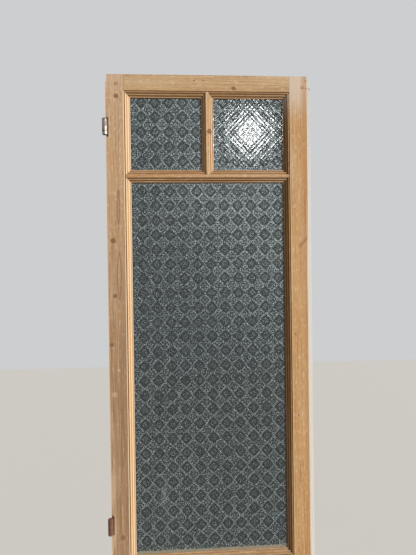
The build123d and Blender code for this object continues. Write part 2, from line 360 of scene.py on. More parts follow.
def pine(
    name, upright, heart, pale, ruddy, seed, knots=(), ring=3.1, bold=0.5,
    marks=None, seam=None, depth_of=None, grime_and_shade=0.45,
):
    """A pine member's material. heart is where the trunk's middle lies, across and back, in mm.
    Each knot is across, along, size. marks gives masks with colours, seam a distance to a joint,
    and depth_of how far in from the glass line a point of the moulding lies."""
    made, start, output = new_material(name)
    right, down, back = drawing_place(start)
    across, along = (right, down) if upright else (down, right)
    spot = across.vector(back, along)
    wander = spot.noise(WANDER, seed) - 0.5
    shiver = spot.noise(SHIVER, seed + 3) - 0.5
    radius = distance(across, back, heart) + wander * 34 + shiver * 2.0
    near = knot_distance(spot, across, along, knots, seed)
    if near is not None:
        push = 1 - near.rise(0.5, 4.2)
        radius = radius + push * push * 8
    turn = (radius / ring).maths("FRACT")
    late = turn.rise(0.2, 0.86) * (1 - turn.rise(0.9, 1.0))
    streak = spot.noise(STREAK, seed + 5, detail=4.0, rough=0.6)
    fibre = spot.noise(FIBRE, seed + 9, detail=3.0, rough=0.7)
    worn = spot.noise(WEAR, seed + 15, detail=3.0, rough=0.6)
    dents = 1 - spot.noise(DENTS, seed + 11, detail=1.0).rise(0.2, 0.27)
    colour = (late * bold).between(pale, ruddy)
    colour = aged(colour, spot, seed, ruddy, fibre, streak, worn)
    colour = colour.tinted(DENT_BROWN, dents * 0.5)
    if near is not None:
        colour = with_knots(colour, near, wander, worn)
    # The moulding's dirt and painted shade.
    if depth_of:
        colour = with_dirt_and_shade(colour, depth_of(right, down, back), back, grime_and_shade)
    for mask, mark in marks(right, down, back) if marks else ():
        colour = colour.tinted(mark, mask)
    height = fibre * 0.5 - late * 0.35 - dents * 0.8
    if seam:
        gap = 1 - seam(right, down, back).rise(0.25, 0.75)
        colour = colour.tinted(SEAM_DARK, gap * 0.85)
        height = height - gap * 2
    rough = 0.56 + streak * 0.22 - late * 0.06
    soft = start.node("ShaderNodeBevel", {"samples": 4}, {"Radius": 0.7 * MM})
    bump = height.bump(0.35, 0.4, Normal=soft)
    values = {"Base Color": colour, "Roughness": rough, "Specular IOR Level": 0.25, "Normal": bump}
    finish_material(start, output, values)
    return made


print("pine ready")

# %% [markdown]
# The bars and rails end in seams: a straight shoulder beside the flat, then a mitre through the
# moulding, or a pointed end where a bar runs into it. A seam is the distance to that line, and the
# leaf is symmetrical, so one formula serves both ends. A tenon that comes through the stile shows
# its outline on the leaf's edge.

# %% Seams
TENON_FRONT, TENON_BACK = 14, 26


def leaf_in(right):
    """Distance in from the nearer long edge of the leaf."""
    return middle - abs(right - middle)


def tenon_rim(right, down, back, top, bottom):
    """Distance in from the outline of a through tenon, on the leaf's edge only."""
    inside = (down - top).least(bottom - down)
    inside = inside.least(back - TENON_FRONT).least(TENON_BACK - back)
    return inside + leaf_in(right).rise(1.0, 3.0) * 50


def top_seam(right, down, back):
    mitre = (down - (top_rail - MOULDING)).most(0.0)
    end = abs(leaf_in(right) - shoulder - mitre)
    point = abs(abs(right - middle) - (down - (top_rail - MOULDING)))
    off_point = (top_rail - MOULDING - down).most(0.0) * 9
    rim = tenon_rim(right, down, back, 12.0, top_rail - 10)
    return end.least(point + off_point).least(rim)


def cross_seam(right, down, back):
    return abs(leaf_in(right) - shoulder - abs(down - cross_middle))


def upright_seam(right, down, back):
    head = down - (top_rail - MOULDING) - abs(right - middle)
    foot = cross_middle - down - abs(right - middle)
    return abs(head).least(abs(foot))


def lock_seam(right, down, back):
    upper = (lock_top + MOULDING - down).most(0.0)
    lower = (down - (lock_bottom - MOULDING)).most(0.0)
    end = abs(leaf_in(right) - shoulder - upper - lower)
    return end.least(tenon_rim(right, down, back, lock_top + 20, lock_bottom - 20))


def foot_seam(right, down, back):
    end = abs(leaf_in(right) - shoulder - (foot_top + MOULDING - down).most(0.0))
    return end.least(tenon_rim(right, down, back, foot_top + 20, leaf_down - 35))


print("tenons lie", TENON_FRONT, "to", TENON_BACK, "mm back")

# %% [markdown]
# The dirt and painted shade need to know how deep in the moulding a point lies. Each member carries
# its moulding on other edges, so each has its own short formula for the distance in from the glass
# line.


# %% Depths of the moulding
def stile_depth(right, down, back):
    return stile - leaf_in(right)


def top_depth(right, down, back):
    return top_rail - down


def cross_depth(right, down, back):
    return MOULDING - abs(down - cross_middle)


def upright_depth(right, down, back):
    return MOULDING - abs(right - middle)


def lock_depth(right, down, back):
    return (down - lock_top).least(lock_bottom - down)


def foot_depth(right, down, back):
    return down - foot_top


print("moulding", MOULDING, "mm wide")

# %% [markdown]
# Some marks belong to one member alone, so they are drawn one by one at their own places, each as a
# mask with a colour and laid on in order. The left stile is greyer and darker towards its foot, in
# strands of grain and in painted shade, and has flames of grain and pale streaks; its moulding is
# painted paler as painted light, and a painted highlight runs along its left edge. The right one is
# pinkish at its very top and more orange towards its edge, and its set-back lip still has old pale
# paint, which has spilled over onto the stile's corner. Where the moulding begins, a pale line on
# the arris is wear and a painted highlight.

# %% Marks of single members
LEFT_FLAMES = (((28, 500), 64, 4.4), ((28, 330), 46, 3.0), ((31, 900), 80, 4.0))
RUST_SPOTS = (((502.6, 11.4), 2.6), ((504.2, 30.3), 3.2), ((515.9, 27.1), 3.2))
STILE_HOLES = ((468.1, 653.2), (474.8, 860.2))
RAIL_HOLES = ((219.8, 13.4), (242.3, 13.1))


def dot(right, down, at, size):
    """A round mark, 1 in its middle."""
    return 1 - distance(right, down, at).rise(size * 0.5, size)


def beside_moulding(down):
    """1 beside the openings and 0 where a rail meets the stile."""
    above = down.rise(top_rail - MOULDING, top_rail - MOULDING + 2)
    rail = (lock_bottom - lock_top) / 2 - MOULDING
    off_rail = abs(down - (lock_top + lock_bottom) / 2).rise(rail, rail + 2)
    return above * off_rail * (1 - down.rise(foot_top + MOULDING - 2, foot_top + MOULDING))


def flame(right, down, at, length, width):
    """The outline of a long spindle, as a ring draws it where the face grazes a swelling."""
    t = (down - at[1]) / length
    bulge = (1 - t * t).most(0.0)
    edge = (abs(right - at[0]) - bulge * width).line(0.0, 1.5)
    return edge * bulge.rise(0.0, 0.2)


def left_marks(right, down, back):
    spot = right.vector(back, down)
    strands = spot.noise((2.0, 9, 130), 43.0, detail=4.0, rough=0.65)
    ragged = spot.noise((5, 9, 90), 42.0, detail=3.0)
    # Darker strands of grain over a painted shade that deepens towards the foot of the stile.
    strands_and_shade = down.rise(200, 800) * (0.16 + strands.rise(0.36, 0.62) * 0.76)
    # Painted light: this stile's moulding, which faces the light, is painted paler.
    moulding = right.rise(shoulder + 2.2, shoulder + 2.8)
    head = 1 - down.rise(4, 70)
    # A painted highlight along the rounded left edge.
    edge = 1 - right.rise(0.6, 3.0)
    # A pale line on the arris beside the moulding: wear and a painted highlight.
    arris = right.line(shoulder - 0.6, 1.1) * beside_moulding(down)
    streak = (1 - right.rise(8, 17)) * down.rise(820, 960) * ragged.rise(0.36, 0.6)
    flames = [(flame(right, down, *words) * 0.65, tone(122, 82, 50)) for words in LEFT_FLAMES]
    return flames + [
        (strands_and_shade, tone(136, 107, 79)),
        (moulding * 0.65, tone(226, 192, 150)),
        (head * 0.45, tone(204, 182, 158)),
        (edge * 0.55, tone(206, 180, 150)),
        (arris * 0.75, tone(236, 220, 196)),
        (streak * 0.5, tone(212, 188, 158)),
        (dot(right, down, (12, 795), 9) * 0.35, tone(214, 190, 162)),
        (dot(right, down, (24, 735), 4) * 0.4, tone(226, 206, 180)),
    ]


def right_marks(right, down, back):
    past = right - leaf_right
    patchy = right.vector(back, down).noise((2.2, 5, 60), 41.0, detail=3.0)
    head = 1 - down.rise(20, 130)
    # A pale line on the arris beside the moulding: wear and a painted highlight.
    arris = (past + shoulder).line(0.6, 1.0) * beside_moulding(down)
    edge = past.rise(-20, -6)
    slope = (down - 421) + (right - 492) * 1.15
    scar = slope.line(0.0, 9) * (1 - abs(right - 494).rise(9, 15))
    lip = past.rise(-0.3, 0.2) * (1 - down.rise(leaf_down - 2, leaf_down))
    paint = lip * (0.8 + patchy * 0.4).least(0.97) * (1 - past.line(6.4, 1.2) * 0.4)
    front = past.rise(0.2, 0.6) * (1 - past.rise(10.9, 11.3)) * (1 - back.rise(12.2, 12.6))
    front = front * (0.3 + patchy * 0.5) * down.rise(40, 300)
    spill = past.rise(-3.9, -2.6) * (1 - lip) * (1 - back.rise(0.1, 0.4))
    spill = spill * down.rise(280, 500) * (1 - down.rise(1150, 1350))
    marks = [
        (head * 0.85, tone(208, 192, 176)),
        (arris * 0.6, tone(226, 200, 168)),
        (edge * 0.5, tone(172, 118, 66)),
        (scar * 0.6, tone(152, 104, 66)),
        (paint, tone(202, 197, 188)),
        (front, tone(214, 214, 210)),
        (spill * (0.45 + patchy * 0.8).least(0.9), tone(216, 208, 192)),
    ]
    marks += [(dot(right, down, *spot) * 0.8, tone(132, 74, 34)) for spot in RUST_SPOTS]
    marks += [(dot(right, down, at, 2.6) * 0.85, tone(96, 62, 36)) for at in STILE_HOLES]
    return marks


def top_marks(right, down, back):
    low = down.rise(top_rail - MOULDING - 9, top_rail - MOULDING)
    holes = [(dot(right, down, at, 2.4) * 0.85, tone(92, 62, 40)) for at in RAIL_HOLES]
    return holes + [(low * 0.3, tone(196, 150, 100))]


print("rust spots:", len(RUST_SPOTS), "nail holes:", len(STILE_HOLES) + len(RAIL_HOLES))

# %% [markdown]
# Each member was planed from a board of its own, so each gets its own heart, seed, tones and knots.
# The four beads round a pane were cut from the same narrow stuff, so two materials serve them all,
# one for the upright ones and one for the level ones.

# %% The boards
LEFT_KNOTS = (
    (26, 54, 4.2), (13.6, 412, 4.6), (17.7, 549, 4.0),
    (7, 671, 3.8), (27, 1153, 4.6), (31, 1630, 7),
)
# The grime setting is how dark the moulding's dirt and painted shade are: high where the moulding
# lies in shade, low on the left stile, whose moulding faces the light.
boards = {
    "left_stile": dict(
        upright=True, heart=(34, -58), seed=1.0, bold=0.3, knots=LEFT_KNOTS,
        pale=tone(192, 158, 124), ruddy=tone(150, 108, 72),
        marks=left_marks, depth_of=stile_depth, grime_and_shade=0.12,
    ),
    "right_stile": dict(
        upright=True, heart=(560, -44), seed=2.0, ring=4.0, bold=0.16,
        pale=tone(196, 156, 108), ruddy=tone(160, 112, 66),
        knots=((492, 1420, 7), (478, 1980, 6)),
        marks=right_marks, depth_of=stile_depth, grime_and_shade=0.8,
    ),
    "top_rail": dict(
        upright=False, heart=(-46, 60), seed=3.0, knots=((32.7, 318.8, 4),),
        pale=tone(198, 168, 130), ruddy=tone(166, 126, 84),
        marks=top_marks, seam=top_seam, depth_of=top_depth, grime_and_shade=0.7,
    ),
    "cross_bar": dict(
        upright=False, heart=(300, 58), seed=4.0,
        pale=tone(204, 166, 124), ruddy=tone(172, 124, 78),
        seam=cross_seam, depth_of=cross_depth, grime_and_shade=0.6,
    ),
    # The upright bar's paler tone is partly painted light, so that its sunlit side reads bright.
    "upright_bar": dict(
        upright=True, heart=(300, 50), seed=5.0, knots=((256.7, 139.3, 4.5),),
        pale=tone(222, 188, 148), ruddy=tone(184, 138, 92),
        seam=upright_seam, depth_of=upright_depth, grime_and_shade=0.3,
    ),
    "lock_rail": dict(
        upright=False, heart=(1330, -52), seed=6.0, knots=((1262, 176, 8), (1236, 352, 5)),
        pale=tone(198, 166, 130), ruddy=tone(162, 124, 86),
        seam=lock_seam, depth_of=lock_depth,
    ),
    "bottom_rail": dict(
        upright=False, heart=(2110, -40), seed=7.0, knots=((2188, 300, 9), (2150, 120, 6)),
        pale=tone(196, 158, 116), ruddy=tone(160, 116, 74),
        seam=foot_seam, depth_of=foot_depth,
    ),
    "lower_panel": dict(
        upright=True, heart=(230, -70), seed=8.0, ring=3.8,
        pale=tone(202, 164, 122), ruddy=tone(170, 124, 80),
        knots=((176, 1560, 9), (330, 1840, 7), (250, 1985, 5)),
    ),
}
for name, board in boards.items():
    clothe(name, pine(f"pine_{name}", **board))

bead_board = dict(pale=tone(198, 160, 118), ruddy=tone(164, 118, 76), ring=2.4)
upright_bead = pine("pine_bead_upright", True, (200, -60), seed=9.0, **bead_board)
level_bead = pine("pine_bead_level", False, (-40, -60), seed=10.0, **bead_board)
beads = sorted(name for name in nodes if name.startswith("glazing_bead_"))
for name in beads:
    clothe(name, upright_bead if name.endswith(("left", "right")) else level_bead)
print("pine members:", len(boards), "beads:", len(beads))

# %% [markdown]
# A joint peg is a dowel seen end on: fine rings, and a dark ring where dirt has settled round it.
# Its pattern is drawn round the peg's own middle, so each peg has a material of its own.

# %% Pegs
PEG_PALE, PEG_BROWN = tone(196, 160, 122), tone(160, 118, 78)
PEG_STAIN, PEG_RIM = tone(110, 78, 52), tone(62, 42, 28)


def peg_wood(name):
    low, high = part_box(name)
    at = on_drawing((low + high) / 2)
    reach = (high.x - low.x) / 2 / MM
    made, start, output = new_material(f"peg_wood_{name}")
    right, down, back = drawing_place(start)
    away = distance(right, down, at)
    mottle = right.vector(back, down).noise((1.2, 9, 1.2), at[0] * 0.1, detail=3.0)
    rings = (away * 5.2 + mottle * 4).maths("SINE")
    colour = (0.5 + rings * 0.3).between(PEG_PALE, PEG_BROWN)
    colour = colour.tinted(PEG_STAIN, mottle.rise(0.5, 0.75) * 0.5)
    colour = colour.tinted(PEG_RIM, away.rise(reach - 0.9, reach - 0.1) * 0.8)
    rough = 0.6 + mottle * 0.2
    values = {"Base Color": colour, "Roughness": rough, "Normal": mottle.bump(0.4, 0.3)}
    finish_material(start, output, values)
    return made


pegs = [name for name in nodes if name.startswith("peg_")]
for name in pegs:
    clothe(name, peg_wood(name))
print("pegs:", len(pegs))

# %% [markdown]
# Figured glass is rolled between steel rollers while it is soft, and one roller is engraved. Here
# the rule is a lattice of diamonds, 34.4 mm across and 36.8 mm up. Every other one holds a rosette
# with a scalloped rim and four small rings for petals, and the ones between hold rounded diamonds,
# one inside the other. Folding the coordinates with Ping-Pong gives a quarter of a diamond, and
# lines at fixed distances in it draw the whole pattern. The broad swell is real relief, the sum of
# two smooth waves, made with Geometry Nodes on a fine grid, because it is what bends a reflection
# into sparkling rows. The thin lines are bump and tone in the material, from the same coordinates.

# %% The glass pattern
PITCH_ACROSS, PITCH_UP = 34.4, 36.8
ROSETTE_AT = {"top_left": (69.0, 83.6), "top_right": (343.5, 83.6), "main": (103.0, 306.2)}
PETAL_ACROSS, PETAL_UP = 9.3, 9.9


class Fold:
    """A point's place in the lattice of one pane, folded into a quarter of a diamond."""

    def __init__(self, right, down, pane):
        first = ROSETTE_AT[pane]
        u = ((right - first[0]) / PITCH_ACROSS).maths("PINGPONG", 0.5)
        v = ((down - first[1]) / PITCH_UP).maths("PINGPONG", 0.5)
        self.lattice = u + v
        self.x, self.z = u * PITCH_ACROSS, v * PITCH_UP
        far_x, far_z = PITCH_ACROSS / 2 - self.x, PITCH_UP / 2 - self.z
        away = (far_x * far_x + far_z * far_z) ** 0.5
        self.diamond = (1 - self.lattice) * 0.75 + away * (0.35 / PITCH_ACROSS)
        self.away = (self.x * self.x + self.z * self.z) ** 0.5
        scallop = ((u - v) * (math.tau * 3)).maths("COSINE")
        self.rosette = self.lattice * 0.6 + self.away * (0.45 / PITCH_ACROSS) + scallop * 0.016

    def pillows(self):
        """The smooth relief, from 0 to 1: one wave for the cells and a finer one for ridges."""
        turn_x, turn_z = self.x * (math.tau / PITCH_ACROSS), self.z * (math.tau / PITCH_UP)
        cells = turn_x.maths("COSINE") * turn_z.maths("COSINE")
        ridges = (turn_x * 3).maths("COSINE") * (turn_z * 3).maths("COSINE")
        return 0.5 + cells * 0.25 + ridges * 0.25

    def lines(self):
        """The thin lines: raised ones and the sunk ones beside them."""
        x, z, diamond = self.x, self.z, self.diamond
        side_petal = ((x - PETAL_ACROSS) * (x - PETAL_ACROSS) + z * z) ** 0.5
        top_petal = (x * x + (z - PETAL_UP) * (z - PETAL_UP)) ** 0.5
        petal = side_petal.least(top_petal)
        raised = self.rosette.line(0.4, 0.04).most(petal.line(3.6, 1.0) * 0.8)
        raised = raised.most(self.lattice.line(0.5, 0.035)).most(self.away.line(3.0, 1.1) * 0.7)
        raised = raised.most(diamond.line(0.22, 0.03) * 0.7).most(diamond.line(0.1, 0.03) * 0.6)
        sunk = self.rosette.line(0.455, 0.04).most(diamond.line(0.27, 0.035) * 0.7)
        sunk = sunk.most(diamond.line(0.16, 0.025) * 0.7)
        sunk = sunk.most((1 - petal.rise(0.8, 2.0)) * 0.85)
        sunk = sunk.most((1 - self.away.rise(0.6, 1.6)) * 0.6)
        return raised, sunk


print("lattice", PITCH_ACROSS, "by", PITCH_UP, "mm")

# %% [markdown]
# Geometry Nodes make the panes and the small fasteners. Every tree here has named inputs, ends in
# real geometry with one material, and is run once, so what is kept is a plain mesh at the origin.


# %% Helpers for trees
def add_object(name, data):
    """A new object in the scene, at the origin."""
    made = bpy.data.objects.new(name, data)
    bpy.context.scene.collection.objects.link(made)
    return made


def add_inputs(tree, sizes):
    """Named inputs for a tree, and its geometry in and out."""
    tree.interface.new_socket("Geometry", in_out="INPUT", socket_type="NodeSocketGeometry")
    tree.interface.new_socket("Geometry", in_out="OUTPUT", socket_type="NodeSocketGeometry")
    for name, kind in sizes.items():
        tree.interface.new_socket(name, in_out="INPUT", socket_type=f"NodeSocket{kind}")
    inside = tree.nodes.new("NodeGroupInput")
    return {name: Wire(tree, inside.outputs[name]) for name in ("Geometry", *sizes)}


def close_tree(tree, shape, material):
    """The end of every tree: real geometry, one material, and the output."""
    shape = shape.node("GeometryNodeRealizeInstances", values={0: shape})
    values = {"Geometry": shape, "Material": material}
    shape = shape.node("GeometryNodeSetMaterial", values=values)
    tree.links.new(shape.socket, tree.nodes.new("NodeGroupOutput").inputs[0])


def grow(name, tree, values, base=None):
    """Runs a tree on a mesh and keeps the result as a plain object at the origin."""
    maker = add_object(f"maker_{name}", base or bpy.data.meshes.new(f"base_{name}"))
    modifier = maker.modifiers.new("tree", "NODES")
    modifier.node_group = tree
    for item in tree.interface.items_tree:
        if item.in_out == "INPUT" and item.name in values:
            modifier[item.identifier] = values[item.name]
    seen = maker.evaluated_get(bpy.context.evaluated_depsgraph_get())
    mesh = bpy.data.meshes.new_from_object(seen)
    bpy.data.objects.remove(maker)
    mesh.name = name
    return add_object(name, mesh)


print("tree helpers ready")

# %% [markdown]
# The pane's tree lays a grid over the pane, pushes its points back by the relief, and closes the
# body with an edge band and a plain back. The border that sits in the rebates stays flat, and no
# point stands proud of the CAD pane's front, so the glass keeps its place between moulding and
# bead.

# %% The tree of a figured pane
BORDER_FADE = 2 * MM
WELD = 0.01 * MM


def pane_tree(pane):
    tree = bpy.data.node_groups.new(f"figured_pane_{pane}", "GeometryNodeTree")
    sizes = {"Width": "Float", "Height": "Float", "Thickness": "Float", "Centre": "Vector"}
    sizes |= {"Cells Across": "Int", "Cells Up": "Int"}
    sizes |= {"Relief": "Float", "Flat Border": "Float", "Glass": "Material"}
    given = add_inputs(tree, sizes)
    width, height, thick, centre = [given[n] for n in ("Width", "Height", "Thickness", "Centre")]
    outline = {"Size X": width, "Size Y": height}

    cells = {"Vertices X": given["Cells Across"], "Vertices Y": given["Cells Up"]}
    sheet = width.node("GeometryNodeMeshGrid", values=outline | cells)
    stood = {"Geometry": sheet, "Rotation": (math.pi / 2, 0, 0), "Translation": centre}
    sheet = sheet.node("GeometryNodeTransform", values=stood)
    place = sheet.node("GeometryNodeInputPosition")
    place = place.node("ShaderNodeSeparateXYZ", values={0: place})
    right, down = (place - left_edge) / MM, (top_edge - place.out("Z")) / MM
    middle_at = centre.node("ShaderNodeSeparateXYZ", values={0: centre})
    from_side = width / 2 - abs(place - middle_at)
    from_end = height / 2 - abs(place.out("Z") - middle_at.out("Z"))
    fade = (from_side.least(from_end) - given["Flat Border"]).rise(0.0, BORDER_FADE)
    sink = (1 - Fold(right, down, pane).pillows()) * given["Relief"] * fade
    sunk = {"Geometry": sheet, "Offset": sink.on_axis("Y")}
    sheet = sheet.node("GeometryNodeSetPosition", values=sunk)

    rim = sheet.node("GeometryNodeInputMeshEdgeNeighbors")
    equal = {"data_type": "INT", "operation": "EQUAL"}
    rim = rim.node("FunctionNodeCompare", equal, {"A": rim, "B": 1})
    band = {"Mesh": sheet, "Selection": rim, "Offset": thick.on_axis("Y"), "Offset Scale": 1.0}
    sheet = sheet.node("GeometryNodeExtrudeMesh", {"mode": "EDGES"}, band)
    back = width.node("GeometryNodeMeshGrid", values=outline | {"Vertices X": 2, "Vertices Y": 2})
    ends = {0: centre, 1: thick.on_axis("Y")}
    far = centre.node("ShaderNodeVectorMath", {"operation": "ADD"}, ends)
    turned = {"Geometry": back, "Rotation": (-math.pi / 2, 0, 0), "Translation": far}
    back = back.node("GeometryNodeTransform", values=turned)
    both = tree.nodes.new("GeometryNodeJoinGeometry")
    for part in (back, sheet):
        tree.links.new(part.socket, both.inputs[0])
    body = Wire(tree, both.outputs[0])
    body = body.node("GeometryNodeMergeByDistance", values={"Geometry": body, "Distance": WELD})
    body = body.node("GeometryNodeSetShadeSmooth", values={"Geometry": body})
    close_tree(tree, body, given["Glass"])
    return tree


print("pane tree ready")

# %% [markdown]
# Against the dark the glass reads as a deep green grey, with pale lines where the ridges catch the
# light. Its body colour paints most of that: the deep grey is painted in for the dark behind it,
# and the pale lines, bright flecks and a slanting sheen are painted highlights. It lets a little of
# what is behind it through. The painted highlights are brightest at the top right of the leaf and
# sink towards its middle. A dark band along each pane's sight line is dirt and painted shade. Only
# the small right pane is quite glossy, and the others have a film on them. Dust and old putty have
# gathered along the bottom edge of each pane, thickest under the tall one.

# %% The glass material
# The body tones are painted: the dark one for the dark seen through the glass, the lit one for
# light on its ridges.
GLASS_DARK, GLASS_LIT, GLASS_SUNK = tone(26, 32, 35), tone(92, 103, 107), tone(20, 26, 29)
THREAD_AND_HIGHLIGHT, LOW_THREAD, PAINTED_GLINT = tone(184, 204, 208), tone(148, 166, 168), tone(218, 231, 233)
SIGHT_DIRT_AND_SHADE, DUST = tone(44, 38, 30), tone(150, 144, 126)
CLEAN_GLOSS, FILM_GLOSS = 0.03, 0.12
CLOUD, GRIT, PATCH, SLANT_SHEEN = (60, 60, 90), (3.0, 9, 3.2), (14, 30, 14), (8, 9, 2.3)


def edge_of(right, down, pane):
    """Distance in from the pane's sight line, where the moulding begins."""
    first = middle + MOULDING if pane == "top_right" else stile
    last = middle - MOULDING if pane == "top_left" else leaf_right - stile
    top, bottom = (cross_bottom, lock_top) if pane == "main" else (top_rail, cross_top)
    return (right - first).least(last - right).least(down - top).least(bottom - down)


def settled_dust(down, spot):
    """Dust and putty along the lower edge of the small panes and of the tall one."""
    ragged = spot.noise((6, 6, 4), 23.0, detail=4.0) * 14
    on_bar = (down - (cross_top - 3)) * (1 - down.rise(cross_top + 4, cross_top + 6))
    small = (on_bar + ragged * 0.3 - 2).rise(0, 3)
    tall = (down - (lock_top - 10) + ragged - 7).rise(0, 5)
    return tall.most(small * 0.8)


def figured_glass(pane):
    made, start, output = new_material(f"figured_glass_{pane}")
    right, down, back = drawing_place(start)
    fold = Fold(right, down, pane)
    raised, sunk = fold.lines()
    spot = right.vector(back, down)
    cloud = spot.noise(CLOUD, 21.0)
    grit = spot.noise(GRIT, 22.0, detail=2.0, rough=0.6)
    patch = spot.noise(PATCH, 24.0, detail=2.0).rise(0.35, 0.65)
    # A slanting painted sheen, as light streaks the ridges along one diagonal.
    slant_sheen = (right + down).vector(back, right - down).noise(SLANT_SHEEN, 25.0).rise(0.4, 0.62)
    rosette = 1 - fold.rosette.rise(0.36, 0.5)
    # A painted highlight: upper brightens the lines and flecks towards the top right, where the
    # light falls on the glass.
    upper = (1 - (down - right * 0.9).rise(-60, 520)) * (0.55 + right.rise(120, 300) * 0.45)
    lower = down.rise(520, 900)
    glitter = grit.rise(0.42, 0.6)

    # The body tone: pattern, with painted highlight from the flecks, the top right and the slanting
    # sheen.
    lit = rosette * (upper * 0.08 + cloud * 0.08) + glitter * (0.5 - lower * 0.12)
    lit = lit + slant_sheen * upper * 0.32 - 0.04
    strength = glitter * 1.15 + slant_sheen * upper * 0.4 + patch * 0.3 - 0.16
    # The pale raised lines of the pattern, brightened as a painted highlight.
    thread_and_highlight = raised * strength * (0.58 + rosette * 0.1) * (0.75 + upper * 0.6)
    low_thread = fold.lattice.line(0.5, 0.045) * lower * (0.1 + patch * 0.4)
    # Painted glints: bright flecks, more of them towards the top right.
    painted_glint = grit.rise(0.58, 0.66) * (raised * 0.7 + 0.22) * (0.35 + upper * 0.65)
    # Dirt and painted shade: a dark band along the sight line, where the moulding shades the glass.
    sight = (edge_of(right, down, pane) + grit * 2).rise(1.5, 4.0)
    dust = settled_dust(down, spot)
    colour = lit.between(GLASS_DARK, GLASS_LIT)
    colour = colour.tinted(THREAD_AND_HIGHLIGHT, thread_and_highlight.most(0.0).least(1.0))
    colour = colour.tinted(LOW_THREAD, low_thread)
    colour = colour.tinted(GLASS_SUNK, sunk * (0.14 + grit * 0.55 + lower * 0.08))
    colour = colour.tinted(PAINTED_GLINT, painted_glint)
    colour = colour.tinted(SIGHT_DIRT_AND_SHADE, (1 - sight) * 0.75)
    colour = colour.tinted(DUST, dust * (0.55 + grit * 0.5))

    gloss = CLEAN_GLOSS if pane == "top_right" else FILM_GLOSS
    height = raised - sunk * 0.8 + grit * 0.4
    values = {
        "Base Color": colour,
        "Roughness": gloss + sunk * 0.05 + dust * 0.5,
        "Alpha": (0.93 + raised * 0.05).most(dust * 0.99),
        "Normal": height.bump(0.5, 0.12),
        "IOR": 1.5,
    }
    finish_material(start, output, values)
    return made


print("glass ready")

# %% [markdown]
# Each pane gets its own tree and material, because its rosettes start at a place of their own. The
# small panes are gridded a little finer than the tall one, which keeps the tall one's mesh light.

# %% The panes
for name, cell in (("top_left", 1.6), ("top_right", 1.6), ("main", 2.3)):
    low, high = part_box(f"glass_{name}")
    values = {
        "Width": high.x - low.x,
        "Height": high.z - low.z,
        "Thickness": high.y - low.y,
        "Centre": ((low.x + high.x) / 2, low.y, (low.z + high.z) / 2),
        "Cells Across": round((high.x - low.x) / MM / cell) + 1,
        "Cells Up": round((high.z - low.z) / MM / cell) + 1,
        "Relief": 0.2 * MM,
        "Flat Border": 8 * MM,
        "Glass": figured_glass(name),
    }
    pane = grow(f"figured_glass_{name}", pane_tree(name), values)
    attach(pane, "root")
    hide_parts(f"glass_{name}")
    print(pane.name, len(pane.data.polygons), "faces")

# %% [markdown]
# The hinges are the door's halves of lift-off hinges, mild steel that was once plated. The top one
# is worn bright down the middle of its barrel. Lower down the rust has won. Roughness and metal
# change together, because rust is rough and not metallic.

# %% Hinge steel
RUST_DARK, RUST_BRIGHT, BARE_STEEL = tone(70, 46, 36), tone(134, 92, 66), tone(150, 147, 142)
BARREL_TALL = 40
hinges = {"hinge_top": 1.0, "hinge_middle": 0.5, "hinge_bottom": 0.7}


def hinge_steel(name, worn):
    """Steel with rust; worn is how much bright metal is left."""
    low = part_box(name)[0].z
    made, start, output = new_material(f"steel_{name}")
    right, down, back = drawing_place(start)
    spot = right.vector(back, down)
    rust = spot.noise((7, 7, 9), low * 3, detail=5.0, rough=0.65)
    fine = spot.noise((1.1, 1.1, 1.4), low * 5 + 1, detail=4.0, rough=0.7)
    barrel_top = (top_edge - low) / MM - BARREL_TALL
    crown = 1 - abs(down - barrel_top).rise(1.0, 7.0)
    bare = ((rust + crown * 0.4) * worn + fine * 0.3).rise(0.5, 0.72)
    colour = fine.rise(0.35, 0.7).between(RUST_DARK, RUST_BRIGHT).tinted(BARE_STEEL, bare)
    values = {
        "Base Color": colour,
        "Metallic": bare * 0.9,
        "Roughness": 0.8 - bare * 0.32,
        "Normal": (fine * (1 - bare)).bump(0.5, 0.4),
    }
    finish_material(start, output, values)
    return made


for name, worn in hinges.items():
    clothe(name, hinge_steel(name, worn))
print("hinges dressed:", len(hinges))

# %% [markdown]
# The plates of the hinges are held by slotted countersunk screws, and the beads by small pins.
# Both repeat, so one tree makes a head and sets a copy on every point of a point mesh, turned by a
# fixed random amount. Each head is a short cylinder, and a bar cuts the slot out of it.


# %% The tree of small heads
def head_tree(name, slotted):
    tree = bpy.data.node_groups.new(name, "GeometryNodeTree")
    sizes = {"Radius": "Float", "Height": "Float", "Slot": "Float"}
    sizes |= {"Facing": "Vector", "Seed": "Int", "Metal": "Material"}
    given = add_inputs(tree, sizes)
    radius, height = given["Radius"], given["Height"]
    values = {"Vertices": 20 if slotted else 10, "Side Segments": 1, "Fill Segments": 1}
    values |= {"Radius": radius, "Depth": height}
    head = radius.node("GeometryNodeMeshCylinder", {"fill_type": "NGON"}, values)
    if slotted:
        size = (radius * 3).vector(given["Slot"], height)
        bar = radius.node("GeometryNodeMeshCube", values={"Size": size})
        lifted = {"Geometry": bar, "Translation": (height * 0.55).on_axis("Z")}
        bar = bar.node("GeometryNodeTransform", values=lifted)
        cut = tree.nodes.new("GeometryNodeMeshBoolean")
        cut.operation = "DIFFERENCE"
        tree.links.new(head.socket, cut.inputs[0])
        tree.links.new(bar.socket, cut.inputs[1])
        head = Wire(tree, cut.outputs[0])
    whole_turn = {2: 0.0, 3: 6.28, "Seed": given["Seed"]}
    turn = radius.node("FunctionNodeRandomValue", {"data_type": "FLOAT"}, whole_turn, out=1)
    spin = turn.on_axis("Z")
    spin = spin.node("FunctionNodeEulerToRotation", values={0: spin})
    facing = given["Facing"].node("FunctionNodeEulerToRotation", values={0: given["Facing"]})
    local = {"rotation_space": "LOCAL"}
    facing = facing.node("FunctionNodeRotateRotation", local, {0: facing, 1: spin})
    values = {"Points": given["Geometry"], "Instance": head, "Rotation": facing}
    close_tree(tree, head.node("GeometryNodeInstanceOnPoints", values=values), given["Metal"])
    return tree


